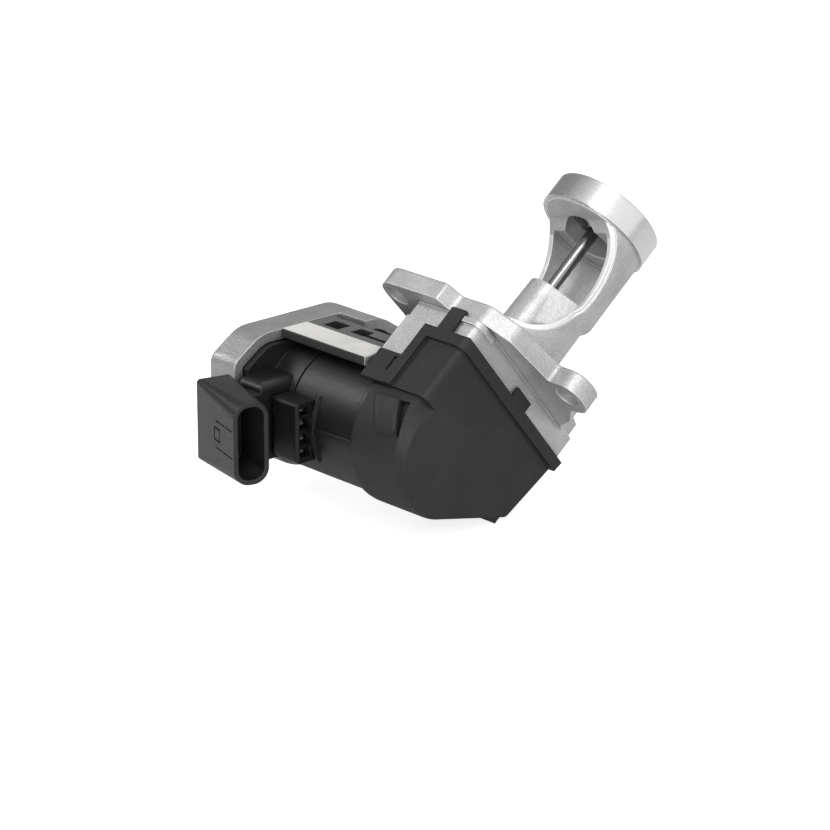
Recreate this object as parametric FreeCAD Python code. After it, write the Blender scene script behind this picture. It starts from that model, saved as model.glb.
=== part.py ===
import FreeCAD, Part
import math
import os
from FreeCAD import Vector

os.makedirs("parts", exist_ok=True)

# Exhaust gas recirculation valve, in millimetres and degrees.
# Valve frame: z up the valve axis from the flange face, x along the motor axis towards the gear cover,
# y across both. The finished part lies as it is shown: the valve frame is tilted about x, and the
# origin moves to the snout's shoulder on the valve axis.

# Valve axis
valve_tilt = 38.5
shoulder = 50.0

# Snout
snout_r = 19.2
snout_root_r = 17.4
snout_step_low = 18.0
snout_step_high = 22.5
snout_wall = 3.0
cavity_floor = 10.0
end_disc = 2.8
gas_bore_r = 9.75
ring_r = 20.0
ring_length = 10.0
ring_wall = 3.2
ring_chamfer = 0.4
spigot_length = 8.0
window_depth = 18.5
window_half_height = 24.0
window_mid = 27.0
window_past_axis = 4.0
window_facing = -105.0
window_land = 0.5
window_lip = (1.6, 0.8)

# Stem and its guide
stem_r = 2.2
stem_clearance = 0.03
boss_r = 7.2
boss_height = 24.0
boss_taper = 0.6
web_facing = 45.0
guide_wall = 1.8
seal_length = 4.0
valve_lift = 7.0
head_r = 11.8
head_thickness = 2.4
seat_outer_r = 13.0
seat_thickness = 5.0
seat_cone = 1.6
seat_gap = 0.05

# Flange and its two bolt holes, as x and y from the valve axis
flange_thickness = 7.0
bolt_hole_r = 4.3
left_hole = (-32.0, -24.2)
right_hole = (28.9, 8.0)
left_ear_r = 7.0
right_ear_r = 7.2
edge_round = 0.8

# Raised strip under the flange
crest_pad_proud = 0.9
crest_pad_z = (-9.4, -7.3)
crest_pad_end = -17.0

# Gear chamber, as y and z in the valve frame
chamber_front = 10.4
chamber_left = -25.5
chamber_right = 40.5
chamber_low_right = (37.0, -42.5)
chamber_top = -14.0
chamber_roof = 3.5
cover_wall = 2.2
cover_edge = -10.0
cover_seam = -14.0
crest_round = 3.5
blend_depth = 3.4
blend_shrink = 4.8
ledge_z = -39.5
rim_width = 4.2
rim_proud = 1.3
seal_thickness = 0.6
plate_back = -14.0
casting_back = -21.0
side_wall = 5.0
fit_gap = 0.3

# Cover tabs by their place along x or y, and the pad on the drum as x and z of its corners
tab_gap = 0.2
top_tab_x = (-4.2, 2.4)
face_tab_y = (4.6, 13.6)
long_tab_back = 10.2
long_tab_height = 11.3
tab_slit_x = (-2.2, -0.6)
tab_slit_heights = (4.5, 10.1)
pad_proud = 1.8
pad_wall = 0.8
pad_corners = ((-10.7, -43.4), (1.2, -42.8), (6.6, -54.2), (-2.8, -55.0))
pad_gap_corners = ((0.7, -42.8), (5.2, -42.6), (7.0, -54.2), (6.1, -54.2))
pad_round = 1.6

# Electric motor, its axis along x
motor_drop = 42.0
motor_r = 22.8
drum_step = 1.7
motor_seam = -48.0
motor_front = -15.5
housing_wall = 2.0
seam_groove = (0.8, 0.7)
saddle_x = (-35.8, -34.4)
saddle_proud = 0.9
saddle_turn = (-160.0, -100.0)
rail_turn = -130.5
rail_size = (1.7, 0.7)
motor_axle_r = 2.0
shaft_back = -68.0
rear_bearing_x = -66.5
core_gap = 6.0
core_ends = (5.0, 7.0)
core_slots = 10
core_slot = (1.6, 5.0)
commutator_r = 5.0
commutator_ends = (6.5, 3.0)
brush_plate_x = (-5.6, -4.0)
brush_plate_bore = 6.0
brush_x = (-3.0, -0.4)
brush_half = 2.4
brush_ends = (5.15, 12.0)
brush_sleeve = (6.5, 15.0, 1.0)
magnet_wall = 4.0
magnet_ends = (4.0, 6.0)
can_wall = 1.5
can_ends = (1.0, 2.0)

# Motor end cap and bridge plate, in the tilted frame: level, and x from the valve axis
bridge_clearance = 1.35
bridge_thickness = 3.0
bridge_front = -45.0
bridge_back = -23.0
cap_left = -76.0
cap_right = -63.0
cap_joint = 0.25
cap_side_margin = 10.5
cap_wall = 3.6
cap_end_wall = 3.0
cap_corner = (12.0, 8.0)
cap_corner_rounds = (5.0, 14.0)
cap_side_drop = 1.0
cap_low_round = 5.0
cap_low_margin = 1.2
cap_arm_end = -50.0
cap_arm_side = -18.8
label_width = 10.5
label_margin = 0.2
label_thickness = 0.3

# Plug socket, turned outwards from the motor axis
socket_turn = 16.0
socket_corner = (-66.0, -80.0)
socket_top = -9.8
socket_height = 28.6
socket_length = 30.0
socket_width = 12.6
socket_wall = 1.6
socket_depth = 19.0
socket_round = 5.6
socket_back_round = 1.4
latch_ends = (15.7, 28.8)
latch_half = 4.7
latch_line = (0.45, 0.5)
catch_ends = (13.9, 18.9)
catch_half = 2.4
pin_count = 5
pin_pitch = 4.0
pin_blade = (0.8, 2.2)
pin_reach = 5.0
arm_top = -11.2
arm_thickness = 11.0
arm_round = 3.0
arm_front = -66.0
arm_ends = (-61.0, -49.5)
neck_low = -38.0
block_ends = (-49.0, -36.2)
block_front = -62.0
block_levels = (-36.6, -15.6)
block_round = 1.5
recess_depth = 4.0
recess_rim = 1.8
recess_y = (1.4, 6.2)
contact_half = 0.5

# Gear train
crank_radius = 8.0
crank_pin_r = 1.4
roller_r = 2.3
roller_slot_gap = 0.15
output_drop = 22.0
pressure_angle = 25.0
addendum = 0.85
dedendum = 1.10
backlash = 0.10
first_module = 0.6
pinion_teeth = 12
wheel_teeth = 45
second_module = 0.8
small_teeth = 10
output_teeth = 30
sector_x = (-7.2, -3.4)
wheel_x = (4.4, 7.4)
pinion_x = (3.6, 8.0)
yoke_half = (3.0, 4.0)
yoke_socket = 1.2
output_axle_r = 2.5
gear_pin_r = 1.5
running_gap = 0.03
bearing_width = 5.0
bearing_shelf = 0.8
small_bearing_r = 5.5
motor_bearing_r = 6.5

# Position sensor and motor screws, as y and z in the valve frame
shaft_end = 1.4
magnet_r = 3.0
magnet_thickness = 2.0
board_x = 1.0
board_thickness = 1.2
board_corners = ((7.9, -15.6), (24.5, -15.6), (24.5, -29.5), (7.9, -29.5))
board_fixings = ((12.0, -15.0 - 2.6), (22.2, -17.8))
post_r = 1.6
motor_screw_spots = ((-14.5, -42.0), (7.2, -54.6))
screw_r = 2.0
screw_head_r = 3.5
screw_head_height = 2.8

# Return spring
spring_wire_r = 0.6
spring_r = 6.1
spring_turns = 4.5
retainer_seat = -16.4
retainer_thickness = 1.2
spring_pocket_r = 8.0
spring_pocket_top = -1.0

# Derived places
tilt = math.radians(valve_tilt)
AXIS = Vector(0, math.cos(tilt), math.sin(tilt))
ORIGIN = Vector(0, 0, 0)
X = Vector(1, 0, 0)
Y = Vector(0, 1, 0)
Z = Vector(0, 0, 1)
motor_y = -motor_drop * math.cos(tilt)
motor_z = -motor_drop * math.sin(tilt)
cover_top = chamber_top - seal_thickness
drum_r = motor_r + drum_step
bridge_level = motor_z + motor_r + bridge_clearance + bridge_thickness
cap_half_width = motor_r + cap_side_margin
cap_bottom_r = motor_r + cap_low_margin
swing = math.degrees(math.asin(valve_lift / 2 / crank_radius))
closed_angle = 180.0 + swing
output_y = crank_radius * (1 + math.cos(math.radians(swing))) / 2
output_axis = (output_y, -output_drop)
motor_axis = (0.0, -motor_drop)
first_distance = first_module * (pinion_teeth + wheel_teeth) / 2
second_distance = second_module * (small_teeth + output_teeth) / 2


def intermediate_centre():
    """Where the two centre distances meet, on the chamber's wide side."""
    dy = output_axis[0] - motor_axis[0]
    dz = output_axis[1] - motor_axis[1]
    span = math.hypot(dy, dz)
    along = (first_distance ** 2 - second_distance ** 2 + span ** 2) / (2 * span)
    aside = math.sqrt(first_distance ** 2 - along ** 2)
    uy = dy / span
    uz = dz / span
    return (motor_axis[0] + along * uy + aside * uz, motor_axis[1] + along * uz - aside * uy)


middle_axis = intermediate_centre()


def bearing(centre, other):
    """Direction from one centre to another in the gear plane, in degrees from +y."""
    return math.degrees(math.atan2(other[1] - centre[1], other[0] - centre[0]))


def tilted(shape):
    """Valve frame to the finished part's frame."""
    moved = shape.copy()
    moved.rotate(ORIGIN, X, valve_tilt - 90)
    moved.translate(AXIS * -shoulder)
    return moved


def level(shape):
    """Level frame about the flange centre to the finished part's frame."""
    moved = shape.copy()
    moved.translate(AXIS * -shoulder)
    return moved


def box(x0, x1, y0, y1, z0, z1):
    """Block between two corners."""
    return Part.makeBox(x1 - x0, y1 - y0, z1 - z0, Vector(x0, y0, z0))


def rod(radius, x0, x1, centre):
    """Round bar along x at a (y, z) centre."""
    return Part.makeCylinder(radius, x1 - x0, Vector(x0, centre[0], centre[1]), X)


def post(radius, z0, z1, centre=(0.0, 0.0)):
    """Round bar along z at an (x, y) centre."""
    return Part.makeCylinder(radius, z1 - z0, Vector(centre[0], centre[1], z0))


def taper(r0, r1, z0, z1):
    """Cone frustum on the valve axis."""
    return Part.makeCone(r0, r1, z1 - z0, Vector(0, 0, z0))


def rounded_corner(before, corner, after):
    """Start, middle and end of the arc at one (u, v, radius) corner."""
    u, v, r = corner
    here = Vector(u, v, 0)
    a = Vector(before[0] - u, before[1] - v, 0)
    b = Vector(after[0] - u, after[1] - v, 0)
    a.normalize()
    b.normalize()
    if r <= 0:
        return here, None, here
    half = a.getAngle(b) / 2
    reach = r / math.tan(half)
    inward = a + b
    inward.normalize()
    middle = here + inward * (r / math.sin(half) - r)
    return here + a * reach, middle, here + b * reach


def outline(corners, place):
    """Closed face from (u, v, corner radius) points, where place turns u, v into a point."""
    count = len(corners)
    arcs = [rounded_corner(corners[i - 1], corners[i], corners[(i + 1) % count]) for i in range(count)]
    edges = []
    for i in range(count):
        first, middle, last = arcs[i]
        following = arcs[(i + 1) % count][0]
        if middle is not None:
            edges.append(Part.Arc(*[place(p.x, p.y) for p in (first, middle, last)]).toShape())
        if last.distanceToPoint(following) > 1e-6:
            edges.append(Part.LineSegment(place(last.x, last.y), place(following.x, following.y)).toShape())
    return Part.Face(Part.Wire(edges))


def touch_point(corner, centre, radius, side):
    """Where the line from a corner touches a circle, on the side given as 1 or -1."""
    dy = corner[0] - centre[0]
    dz = corner[1] - centre[1]
    turn = math.atan2(dz, dy) + side * math.acos(radius / math.hypot(dy, dz))
    return (centre[0] + radius * math.cos(turn), centre[1] + radius * math.sin(turn), 0)


def plate(corners, z0, z1):
    """Rounded (x, y) outline raised along z."""
    face = outline(corners, lambda u, v: Vector(u, v, z0))
    return face.extrude(Vector(0, 0, z1 - z0))


def slab(corners, x0, x1):
    """Rounded (y, z) outline drawn along x."""
    face = outline(corners, lambda u, v: Vector(x0, u, v))
    return face.extrude(Vector(x1 - x0, 0, 0))


def edges_where(shape, test):
    """Edges whose every vertex and middle pass a test."""
    found = []
    for edge in shape.Edges:
        points = [edge.valueAt(edge.FirstParameter + k * (edge.LastParameter - edge.FirstParameter) / 4)
                  for k in range(5)]
        if all(test(p) for p in points):
            found.append(edge)
    return found


def tube(outer, inner, z0, z1):
    """Ring on the valve axis."""
    return post(outer, z0, z1).cut(post(inner, z0 - 1, z1 + 1))


# Snout and flange

def window_cutter(reach, grow):
    """Elliptic saddle cut through the side of the snout, grown all round."""
    middle = window_depth - window_past_axis
    curve = Part.Ellipse(Vector(middle, 0, window_mid + window_half_height + grow),
                         Vector(middle + window_depth + grow, 0, window_mid), Vector(middle, 0, window_mid))
    face = Part.Face(Part.Wire(curve.toShape()))
    face.translate(Vector(0, -reach, 0))
    cutter = face.extrude(Vector(0, 2 * reach, 0))
    below_shoulder = box(-reach * 2, reach * 2, -reach * 2, reach * 2, 0, shoulder - window_land)
    cutter = cutter.common(below_shoulder)
    cutter.rotate(ORIGIN, Z, window_facing)
    return cutter


def swelling_bar(low_r, high_r, low, foot, high):
    """Round bar that swells smoothly from its lower radius, at the foot, to its upper one."""
    rise = (snout_step_high - foot) / 2
    swell = Part.BezierCurve()
    swell.setPoles([Vector(low_r, 0, foot), Vector(low_r, 0, foot + rise),
                    Vector(high_r, 0, snout_step_high - rise), Vector(high_r, 0, snout_step_high)])
    corners = [Vector(high_r, 0, snout_step_high), Vector(high_r, 0, high), Vector(0, 0, high),
               Vector(0, 0, low)]
    if low < foot:
        corners.append(Vector(low_r, 0, low))
    corners.append(Vector(low_r, 0, foot))
    sides = [Part.LineSegment(a, b).toShape() for a, b in zip(corners, corners[1:])]
    return Part.Face(Part.Wire([swell.toShape()] + sides)).revolve(ORIGIN, Z, 360)


def snout():
    """Hollow barrel with its window, the lip round it, and the spigot that carries the ring."""
    low = -flange_thickness / 2
    wide, deep = window_lip
    barrel = swelling_bar(snout_root_r, snout_r, low, snout_step_low, shoulder)
    core = swelling_bar(snout_root_r - deep, snout_r - deep, low, snout_step_low, shoulder)
    hollow = swelling_bar(snout_root_r - snout_wall, snout_r - snout_wall, cavity_floor, cavity_floor,
                          shoulder - end_disc)
    reach = max(snout_r, snout_root_r) + 5
    barrel = barrel.cut(window_cutter(reach, wide).cut(core))
    barrel = barrel.cut(hollow).cut(window_cutter(reach, 0))
    return barrel.fuse(post(ring_r - ring_wall, shoulder, shoulder + spigot_length))


def guide_boss():
    """Tapered boss round the stem, carried on to the far wall at its full width."""
    boss = taper(boss_r + boss_taper, boss_r, 0, boss_height)
    web = box(0, snout_r, -boss_r, boss_r, 0, boss_height)
    web.rotate(ORIGIN, Z, web_facing)
    return boss.fuse(web.common(post(snout_r - snout_wall + 0.1, 0, boss_height)))


def flange():
    """Two-ear flange plate with its top edge rounded."""
    lx = left_hole[0] - left_ear_r
    ly = left_hole[1] - left_ear_r
    rx, ry = right_hole
    rr = right_ear_r
    corners = [
        (lx, ly, left_ear_r), (-8.5, ly, 1.5), (-4.6, chamber_left, 3.0), (8.5, chamber_left, 6.0),
        (18.5, -17.5, 5.0), (rx - 4.3, ry - rr, 2.0), (rx + rr + 0.8, ry - rr, rr),
        (rx + rr - 0.4, ry + rr, rr), (rx - 3.4, ry + rr + 1.6, 2.0), (20.5, 24.5, 3.0), (11.5, 31.0, 3.0),
        (chamber_front - 2.0, chamber_right, 2.0), (casting_back, chamber_right, 3.0),
        (casting_back, 14.0, 8.0), (lx + 3.0, -8.0, 6.0)]
    body = plate(corners, -flange_thickness, 0)
    top = edges_where(body, lambda p: abs(p.z) < 1e-3)
    return body.makeFillet(edge_round, top)


def chamber_outline(grow, top):
    """Corners of the gear chamber seen along the motor axis, without its drum."""
    ly, lz = chamber_low_right
    low_right = (ly + grow, lz - grow * 0.6, 3.0)
    return [(chamber_left - grow, top, 0), (chamber_right + grow, top, 0), low_right,
            touch_point(low_right, motor_axis, drum_r + grow, -1), motor_axis + (0,),
            (chamber_left - grow, ledge_z - grow, 0)]


def chamber_solid(grow, x0, x1, top):
    """Gear chamber and drum, drawn along x and grown all round."""
    body = slab(chamber_outline(grow, top), x0, x1)
    return body.fuse(rod(drum_r + grow, x0, x1, motor_axis)).removeSplitter()


def gear_plate():
    """Wall behind the gears that carries their axles and the motor."""
    shelf_top = chamber_top + 1
    full = chamber_solid(0, plate_back, cover_edge - seal_thickness, shelf_top)
    full = full.cut(box(plate_back - 1, chamber_front, -60, 60, -90, ledge_z + fit_gap))
    inside = chamber_solid(-cover_wall - fit_gap, plate_back, cover_edge - seal_thickness, shelf_top)
    return full.fuse(inside)


def chamber_roof_block():
    """Block under the flange that closes the top of the gear chamber."""
    body = plate([(casting_back, chamber_left, 1.5), (chamber_front, chamber_left, crest_round),
                  (chamber_front, chamber_right, 1.5), (casting_back, chamber_right, 1.5)],
                 chamber_top, -flange_thickness + 1)
    inner = box(cover_edge + 0.4, chamber_front - 3.0, chamber_left + 3.2, chamber_right - 3.2,
                chamber_top - 1, chamber_top + chamber_roof)
    return body.cut(inner)


def crest_pad():
    """Raised strip of the block just under the flange, round the corner beside the cover's tab."""
    grow = crest_pad_proud
    low, high = crest_pad_z
    pad = plate([(casting_back, chamber_left - grow, 1.5), (chamber_front + grow, chamber_left - grow,
                                                            crest_round + grow),
                 (chamber_front + grow, chamber_right, 1.5), (casting_back, chamber_right, 1.5)], low, high)
    return pad.common(box(top_tab_x[1] + 0.3, chamber_front + 2 * grow, chamber_left - 2 * grow,
                          crest_pad_end, low, high))


def side_column():
    """Thick side wall that comes down from the flange to the bridge plate."""
    column = box(casting_back, cover_edge - seal_thickness, chamber_left, chamber_left + side_wall,
                 -40, chamber_top + 1)
    column = tilted(column)
    below = level(box(-60, 30, -120, 60, -120, bridge_level - bridge_thickness))
    return column.cut(below)


def bridge():
    """Level plate over the motor, from the side wall to the end cap."""
    low = bridge_level - bridge_thickness
    body = box(cap_right + cap_joint, casting_back - fit_gap, bridge_front, bridge_back, low, bridge_level)
    neck = box(casting_back - 1, plate_back + 2, bridge_front + 7.5, bridge_back, low, bridge_level)
    pocket = box(-57.5, -49.5, bridge_front + 13.2, bridge_front + 19.6, low - 1, bridge_level + 1)
    slot = box(-45.0, -38.0, bridge_front + 14.5, bridge_front + 20.0, low - 1, bridge_level + 1)
    slot = slot.fuse(box(-40.0, -26.5, bridge_front + 14.8, bridge_front + 17.0, low - 1, bridge_level + 1))
    return level(body.cut(pocket).cut(slot).fuse(neck))


def gusset():
    """Triangular rib between the roof block and the gear plate."""
    corners = [Vector(plate_back + 1, 22, chamber_top + 1), Vector(casting_back + 0.5, 22, chamber_top + 1),
               Vector(plate_back + 1, 22, chamber_top - 16)]
    face = Part.Face(Part.makePolygon(corners + [corners[0]]))
    return face.extrude(Vector(0, 4, 0))


def valve_body():
    """The casting."""
    body = flange().fuse([chamber_roof_block(), crest_pad()])
    body = body.fuse(gear_plate())
    bearing_end = plate_back + bearing_shelf + bearing_width
    body = body.fuse(rod(small_bearing_r + 2.0, plate_back, bearing_end, output_axis))
    body = body.fuse([gusset()] + board_posts())
    body = body.fuse(snout())
    body = body.fuse(guide_boss())
    spigot_end = shoulder + spigot_length
    body = body.cut(post(gas_bore_r, shoulder - end_disc - 1, spigot_end + 1))
    body = body.cut(post(seat_outer_r, spigot_end - seat_thickness, spigot_end + 1))
    body = body.cut(post(stem_r + guide_wall, -flange_thickness - 8, boss_height + 1))
    body = body.cut(post(spring_pocket_r, chamber_top - 1, spring_pocket_top))
    for hole in (left_hole, right_hole):
        body = body.cut(post(bolt_hole_r, -flange_thickness - 10, 1, hole))
    body = body.cut(rod(small_bearing_r, plate_back + bearing_shelf, 0, output_axis))
    body = body.cut(rod(gear_pin_r, plate_back - 1, 0, middle_axis))
    body = body.cut(rod(motor_bearing_r + 2.7, plate_back - 1, 0, motor_axis))
    for spot in motor_screw_spots:
        body = body.cut(rod(screw_r, plate_back - 1, 0, spot))
    body = tilted(body)
    return body.fuse(side_column()).fuse(bridge()).removeSplitter()


def seat_ring():
    """Machined sealing ring pressed on the spigot."""
    ring = tube(ring_r, ring_r - ring_wall, shoulder, shoulder + ring_length)
    rim = edges_where(ring, lambda p: abs(math.hypot(p.x, p.y) - ring_r) < 1e-3
                      and abs(p.z - shoulder - ring_length) < 1e-3)
    return ring.makeChamfer(ring_chamfer, rim)


def valve_seat():
    """Seat insert with its cone."""
    top = shoulder + spigot_length
    insert = post(seat_outer_r, top - seat_thickness, top)
    insert = insert.cut(post(gas_bore_r, top - seat_thickness - 1, top + 1))
    return insert.cut(taper(gas_bore_r, gas_bore_r + seat_cone, top - seat_cone, top))


# Valve stem group

def poppet_valve():
    """Stem with its mushroom head, closed on the seat."""
    top = shoulder + spigot_length
    base_r = gas_bore_r - seat_gap
    low = top - seat_cone
    cone = taper(base_r, base_r + seat_cone, low, top)
    disc = post(head_r, top + seat_gap, top + seat_gap + head_thickness - 1.0)
    neck = post(base_r + seat_cone, top, top + seat_gap)
    tulip = taper(stem_r, base_r, low - 5.0, low)
    stem = post(stem_r, yoke_top() - yoke_socket, low)
    return stem.fuse(tulip).fuse(cone).fuse(neck).fuse(disc).removeSplitter()


def crank_pin_centre():
    """Crank pin at rest, with the valve closed."""
    angle = math.radians(closed_angle)
    return (output_axis[0] + crank_radius * math.cos(angle), output_axis[1] + crank_radius * math.sin(angle))


def yoke_top():
    """Upper face of the yoke with the valve closed."""
    return crank_pin_centre()[1] + yoke_half[1]


def stem_yoke():
    """Slotted yoke on the stem's lower end."""
    mid = crank_pin_centre()[1]
    half_x, half_z = yoke_half
    body = plate([(-half_x, -6.0, 1.0), (half_x, -6.0, 1.0), (half_x, 4.4, 0.8), (-half_x, 4.4, 0.8)],
                 mid - half_z, mid + half_z)
    reach = 1.0
    gap = roller_r + roller_slot_gap
    slot = box(-half_x - 1, half_x + 1, -reach, reach, mid - gap, mid + gap)
    slot = slot.fuse(rod(gap, -half_x - 1, half_x + 1, (-reach, mid)))
    slot = slot.fuse(rod(gap, -half_x - 1, half_x + 1, (reach, mid)))
    body = body.cut(slot)
    return body.cut(post(stem_r, yoke_top() - yoke_socket, yoke_top() + 1))


def stem_guide():
    """Bronze bush in the boss."""
    return tube(stem_r + guide_wall, stem_r + stem_clearance, spring_pocket_top + seal_length, boss_height)


def stem_seal():
    """Seal below the bush."""
    low = spring_pocket_top
    return tube(stem_r + guide_wall, stem_r + stem_clearance, low, low + seal_length)


def spring_retainer():
    """Cup on the stem that the spring pushes on."""
    low = retainer_seat
    cup = tube(spring_r + 1.3, stem_r, low, low + retainer_thickness)
    lip = tube(spring_r + 1.3, spring_r + 0.8, low, low + 2.2)
    collar = tube(stem_r + 1.4, stem_r, low, low + 2.6)
    return cup.fuse(lip).fuse(collar).removeSplitter()


def return_spring():
    """Coil spring between the retainer and the pocket's end."""
    low = retainer_seat + retainer_thickness + spring_wire_r
    high = spring_pocket_top - spring_wire_r
    pitch = (high - low) / spring_turns
    helix = Part.makeHelix(pitch, high - low, spring_r)
    helix.translate(Vector(0, 0, low))
    start = Vector(spring_r, 0, low)
    section = Part.Wire(Part.makeCircle(spring_wire_r, start, Y))
    coil = Part.Wire(helix.Edges).makePipeShell([section], True, True)
    return coil


# Gears

def involute(angle):
    """Involute function of a pressure angle in radians."""
    return math.tan(angle) - angle


def gear_face(module, teeth, centre, tooth_angle, x0):
    """Spur gear section at x0, with a tooth centred on tooth_angle."""
    pressure = math.radians(pressure_angle)
    pitch_r = module * teeth / 2
    base_r = pitch_r * math.cos(pressure)
    tip_r = pitch_r + addendum * module
    root_r = pitch_r - dedendum * module
    half_pitch = math.pi / teeth / 2 - backlash / 4 / pitch_r

    def half_angle(radius):
        return half_pitch + involute(pressure) - involute(math.acos(min(1.0, base_r / radius)))

    def point(radius, angle):
        return Vector(x0, centre[0] + radius * math.cos(angle), centre[1] + radius * math.sin(angle))

    foot_r = max(base_r, root_r)
    middle_r = (foot_r + tip_r) / 2
    edges = []
    for i in range(teeth):
        middle = math.radians(tooth_angle) + 2 * math.pi * i / teeth
        foot = half_angle(foot_r)
        flank = half_angle(middle_r)
        tip = half_angle(tip_r)
        rise = [point(foot_r, middle - foot), point(middle_r, middle - flank), point(tip_r, middle - tip)]
        fall = [point(tip_r, middle + tip), point(middle_r, middle + flank), point(foot_r, middle + foot)]
        next_middle = middle + 2 * math.pi / teeth
        if root_r < foot_r - 1e-6:
            edges.append(Part.LineSegment(point(root_r, middle - foot), rise[0]).toShape())
        edges.append(Part.Arc(*rise).toShape())
        edges.append(Part.Arc(rise[2], point(tip_r, middle), fall[0]).toShape())
        edges.append(Part.Arc(*fall).toShape())
        if root_r < foot_r - 1e-6:
            edges.append(Part.LineSegment(fall[2], point(root_r, middle + foot)).toShape())
        root_start = point(root_r, middle + foot)
        root_end = point(root_r, next_middle - foot)
        root_middle = point(root_r, (middle + next_middle) / 2)
        edges.append(Part.Arc(root_start, root_middle, root_end).toShape())
    return Part.Face(Part.Wire(edges))


def gear(module, teeth, centre, tooth_angle, x0, x1):
    """Spur gear along x."""
    return gear_face(module, teeth, centre, tooth_angle, x0).extrude(Vector(x1 - x0, 0, 0))


def wedge(centre, start, end, x0, x1, radius):
    """Sector of a disc in the gear plane, from start to end degrees."""
    points = [Vector(x0, centre[0], centre[1])]
    steps = 6
    for k in range(steps + 1):
        angle = math.radians(start + (end - start) * k / steps)
        points.append(Vector(x0, centre[0] + radius * math.cos(angle), centre[1] + radius * math.sin(angle)))
    face = Part.Face(Part.makePolygon(points + [points[0]]))
    return face.extrude(Vector(x1 - x0, 0, 0))


def output_gear():
    """Toothed sector with its hub and crank arm."""
    x0, x1 = sector_x
    mesh = bearing(output_axis, middle_axis)
    margin = 24.0
    teeth = gear(second_module, output_teeth, output_axis, mesh, x0, x1)
    reach = second_module * output_teeth
    sector = teeth.common(wedge(output_axis, mesh - margin, mesh + 2 * swing + margin, x0, x1, reach))
    hub = rod(output_axle_r + 2.6, x0, x1, output_axis)
    pin = crank_pin_centre()
    arm = rod(crank_pin_r + 2.2, x0, x1, pin)
    web = box(x0, x1, 0, crank_radius, -crank_pin_r - 2.0, crank_pin_r + 2.0)
    web.rotate(ORIGIN, X, closed_angle)
    web.translate(Vector(0, output_axis[0], output_axis[1]))
    body = sector.fuse([hub, arm, web]).removeSplitter()
    body = body.cut(rod(output_axle_r, x0 - 1, x1 + 1, output_axis))
    return body.cut(rod(crank_pin_r, x0 - 1, x1 + 1, pin))


def output_shaft():
    """Axle of the output gear."""
    return rod(output_axle_r, plate_back + bearing_shelf + 0.2, sector_x[1] + shaft_end, output_axis)


def crank_pin():
    """Pin that carries the roller."""
    return rod(crank_pin_r, sector_x[0], yoke_half[0], crank_pin_centre())


def crank_roller():
    """Roller in the yoke's slot."""
    pin = crank_pin_centre()
    body = rod(roller_r, -yoke_half[0] + 0.2, yoke_half[0] - 0.2, pin)
    return body.cut(rod(crank_pin_r, -yoke_half[0] - 1, yoke_half[0] + 1, pin))


def ball_bearing(outer_r, inner_r, x0, centre):
    """Sealed ball bearing as two rings and a shield between them."""
    x1 = x0 + bearing_width
    body = rod(outer_r, x0, x1, centre).cut(rod(inner_r, x0 - 1, x1 + 1, centre))
    ring = 0.3 * (outer_r - inner_r)
    for start, end in ((x0 - 1, x0 + 0.4), (x1 - 0.4, x1 + 1)):
        groove = rod(outer_r - ring, start, end, centre).cut(rod(inner_r + ring, start - 1, end + 1, centre))
        body = body.cut(groove)
    return body


def output_bearing():
    """Bearing in the gear plate's boss."""
    return ball_bearing(small_bearing_r, output_axle_r, plate_back + bearing_shelf, output_axis)


def intermediate_gear():
    """Large wheel and small pinion in one piece."""
    x0, x1 = wheel_x
    to_motor = bearing(middle_axis, motor_axis)
    to_output = bearing(middle_axis, output_axis)
    wheel = gear(first_module, wheel_teeth, middle_axis, to_motor, x0, x1)
    small = gear(second_module, small_teeth, middle_axis, to_output + 180.0 / small_teeth,
                 sector_x[0] - 0.4, x0 + 0.5)
    body = wheel.fuse(small)
    recess_r = first_module * wheel_teeth / 2 - 2.6
    recess = rod(recess_r, x1 - 0.8, x1 + 1, middle_axis).cut(rod(4.4, x1 - 2, x1 + 2, middle_axis))
    body = body.cut(recess)
    for k in range(5):
        angle = math.radians(72 * k)
        spot = (middle_axis[0] + 8.2 * math.cos(angle), middle_axis[1] + 8.2 * math.sin(angle))
        body = body.cut(rod(2.0, x0 - 1, x1 + 1, spot))
    return body.cut(rod(gear_pin_r + running_gap, -40, 40, middle_axis))


def position_magnet():
    """Magnet disc on the end of the output shaft."""
    end = sector_x[1] + shaft_end
    return rod(magnet_r, end, end + magnet_thickness, output_axis)


def sensor_board():
    """Board that reads the magnet, on two posts of the gear plate."""
    corners = [(y, z, 1.5) for y, z in board_corners]
    return slab(corners, board_x, board_x + board_thickness)


def board_posts():
    """Posts of the gear plate under the board."""
    return [rod(post_r, plate_back + 1, board_x, spot) for spot in board_fixings]


def motor_screws():
    """Two screws that hold the motor to the gear plate."""
    plate_face = cover_edge - seal_thickness
    screws = []
    for spot in motor_screw_spots:
        head = rod(screw_head_r, plate_face, plate_face + screw_head_height, spot)
        shank = rod(screw_r, plate_back - 2.4, plate_face, spot)
        socket = rod(1.5, plate_face + 1.2, plate_face + screw_head_height + 1, spot)
        screws.append(head.fuse(shank).cut(socket).removeSplitter())
    return Part.makeCompound(screws)


def intermediate_pin():
    """Fixed pin from the gear plate to the cover's boss."""
    return rod(gear_pin_r, plate_back, chamber_front - cover_wall + 0.6, middle_axis)


def motor_pinion():
    """Pinion pressed on the motor's shaft."""
    x0, x1 = pinion_x
    away = bearing(motor_axis, middle_axis) + 180.0 / pinion_teeth
    body = gear(first_module, pinion_teeth, motor_axis, away, x0, x1)
    return body.cut(rod(motor_axle_r, x0 - 1, x1 + 1, motor_axis))


# Gear cover

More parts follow.
